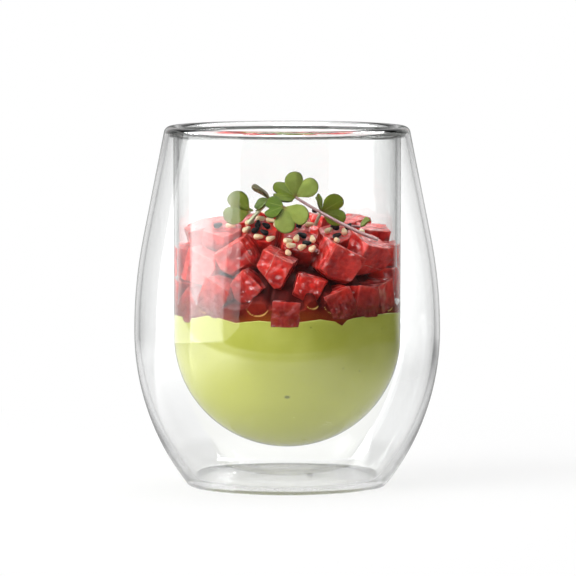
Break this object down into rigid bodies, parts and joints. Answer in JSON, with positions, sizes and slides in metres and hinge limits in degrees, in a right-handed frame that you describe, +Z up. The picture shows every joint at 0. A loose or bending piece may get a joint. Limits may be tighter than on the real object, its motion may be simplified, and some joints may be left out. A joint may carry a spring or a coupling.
{
  "type": "double-walled appetizer glass",
  "caption": "Double-walled blown glass with a sealed air gap and a rounded bowl, served with avocado mousse, diced tuna in marinade, sesame seeds and radish sprouts.",
  "frame": {"origin": "middle of the flat foot ring, in the plane of the table", "axes": "+Z up along the glass's axis of revolution; the side that faces the camera is -Y, and +X is to its right"},
  "size_m": [0.0734, 0.0734, 0.0864],
  "materials": {
    "blown_glass": "polished",
    "mousse": "satin",
    "marinade": "gloss",
    "tuna": "gloss",
    "white_sesame": "satin",
    "black_sesame": "satin",
    "sprout": "satin"
  },
  "bodies": {
    "root": {"glass": "blown_glass", "avocado_mousse": "mousse", "marinade": "marinade", "tuna_cube_1": "tuna", "tuna_cube_2": "tuna", "tuna_cube_3": "tuna", "tuna_cube_4": "tuna", "tuna_cube_5": "tuna", "tuna_cube_6": "tuna", "tuna_cube_7": "tuna", "tuna_cube_8": "tuna", "tuna_cube_9": "tuna", "tuna_cube_10": "tuna", "tuna_cube_11": "tuna", "tuna_cube_12": "tuna", "tuna_cube_13": "tuna", "tuna_cube_14": "tuna", "tuna_cube_15": "tuna", "tuna_cube_16": "tuna", "tuna_cube_17": "tuna", "tuna_cube_18": "tuna", "tuna_cube_19": "tuna", "tuna_cube_20": "tuna", "tuna_cube_21": "tuna", "tuna_cube_22": "tuna", "tuna_cube_23": "tuna", "tuna_cube_24": "tuna", "tuna_cube_25": "tuna", "tuna_cube_26": "tuna", "tuna_cube_27": "tuna", "tuna_cube_28": "tuna", "tuna_cube_29": "tuna", "tuna_cube_30": "tuna", "tuna_cube_31": "tuna", "tuna_cube_32": "tuna", "tuna_cube_33": "tuna", "tuna_cube_34": "tuna", "tuna_cube_35": "tuna", "tuna_cube_36": "tuna", "tuna_cube_37": "tuna", "tuna_cube_38": "tuna", "tuna_cube_39": "tuna", "tuna_cube_40": "tuna", "tuna_cube_41": "tuna", "tuna_cube_42": "tuna", "tuna_cube_43": "tuna", "tuna_cube_44": "tuna", "tuna_cube_45": "tuna", "tuna_cube_46": "tuna", "tuna_cube_47": "tuna", "white_sesame_seeds": "white_sesame", "black_sesame_seeds": "black_sesame", "left_sprout": "sprout", "folded_sprout": "sprout", "front_sprout": "sprout", "top_sprout": "sprout", "right_sprout": "sprout", "back_sprout": "sprout"}
  },
  "joints": []
}
